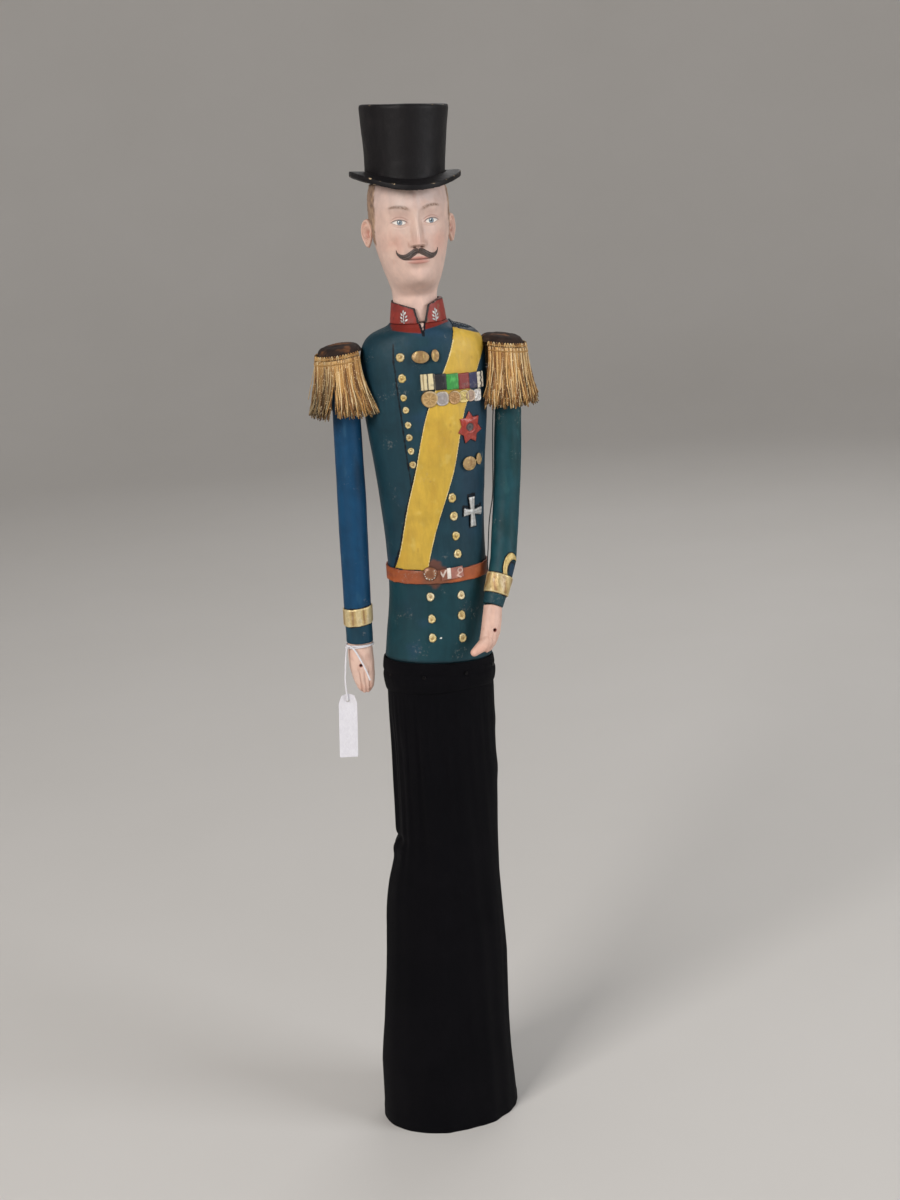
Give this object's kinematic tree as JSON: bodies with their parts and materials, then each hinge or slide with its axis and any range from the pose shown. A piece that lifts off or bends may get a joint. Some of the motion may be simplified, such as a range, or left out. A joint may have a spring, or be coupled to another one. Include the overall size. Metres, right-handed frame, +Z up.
{
  "type": "wayang golek rod puppet",
  "caption": "Carved rod puppet of a uniformed gentleman in a top hat, with a turning head, swinging arms, a hidden grip and a black cloth sleeve for the forearm.",
  "frame": {"origin": "centre of the lower end of the grip under the trunk", "axes": "+Z up along the head rod, -Y the way the figure faces, +X towards the figure's left hand"},
  "size_m": [0.1704, 0.0906, 0.7851],
  "materials": {
    "tunic": "hand-painted blue-green, worn satin",
    "collar": "hand-painted red with black edging",
    "sash": "painted yellow band",
    "belt": "painted red-brown",
    "gilt": "dull gold paint",
    "silver": "dull silver paint",
    "ribbon": "painted ribbons in five colours",
    "red_enamel": "red paint",
    "board": "dark, rubbed",
    "bullion": "golden cord strands",
    "skin": "pale flesh paint, satin",
    "moustache": "near-black paint",
    "hat": "black paint, satin",
    "bare_wood": "turned, unpainted",
    "steel": "plain",
    "sleeve_cloth": "matt black cotton",
    "string": "white cotton",
    "thread": "dark thread",
    "card": "blank white card"
  },
  "bodies": {
    "torso": {"torso": "tunic", "collar": "collar", "collar_ornaments": "silver", "sash": "sash", "belt": "belt", "belt_buckle": "silver", "belt_plate": "belt", "tunic_buttons": "gilt", "toggles": "gilt", "ribbon_bar": "ribbon", "medals": "gilt", "star_badge": "red_enamel", "cross_badge": "silver", "right_epaulette_board": "board", "left_epaulette_board": "board", "right_fringe": "bullion", "left_fringe": "bullion", "right_shoulder_pin": "steel", "left_shoulder_pin": "steel", "body_handle": "bare_wood", "sleeve_cloth": "sleeve_cloth", "sleeve_waistband": "sleeve_cloth", "sleeve_tacks": "steel"},
    "head": {"head": "skin", "moustache": "moustache", "hat_crown": "hat", "hat_brim": "hat", "head_rod": "bare_wood", "rod_knob": "bare_wood", "knob_pin": "steel"},
    "right_arm": {"right_arm": "tunic", "right_cuff_band": "gilt", "right_hand": "skin", "right_wrist_dowel": "bare_wood", "wrist_loop": "string", "tag_tail": "string"},
    "left_arm": {"left_arm": "tunic", "left_cuff_band": "gilt", "cuff_curl": "gilt", "left_hand": "skin", "left_wrist_dowel": "bare_wood", "arm_thread": "thread"},
    "price_tag": {"tag_string": "string", "tag_card": "card"}
  },
  "joints": [
    {"name": "head_turn", "type": "hinge", "parent": "torso", "child": "head", "pos_m": [0, 0, 0.425], "axis": [0, 0, 1], "continuous": true},
    {"name": "right_shoulder", "type": "hinge", "parent": "torso", "child": "right_arm", "pos_m": [-0.057, 0, 0.372], "axis": [-1, 0, 0], "range_deg": [-20, 95], "deforming": ["right_fringe"]},
    {"name": "left_shoulder", "type": "hinge", "parent": "torso", "child": "left_arm", "pos_m": [0.062, 0, 0.372], "axis": [-1, 0, 0], "range_deg": [0, 95], "deforming": ["left_fringe"]},
    {"name": "tag_swing", "type": "hinge", "parent": "right_arm", "child": "price_tag", "pos_m": [-0.072, -0.006, 0.1702], "axis": [-1, 0, 0], "range_deg": [-60, 60]}
  ]
}
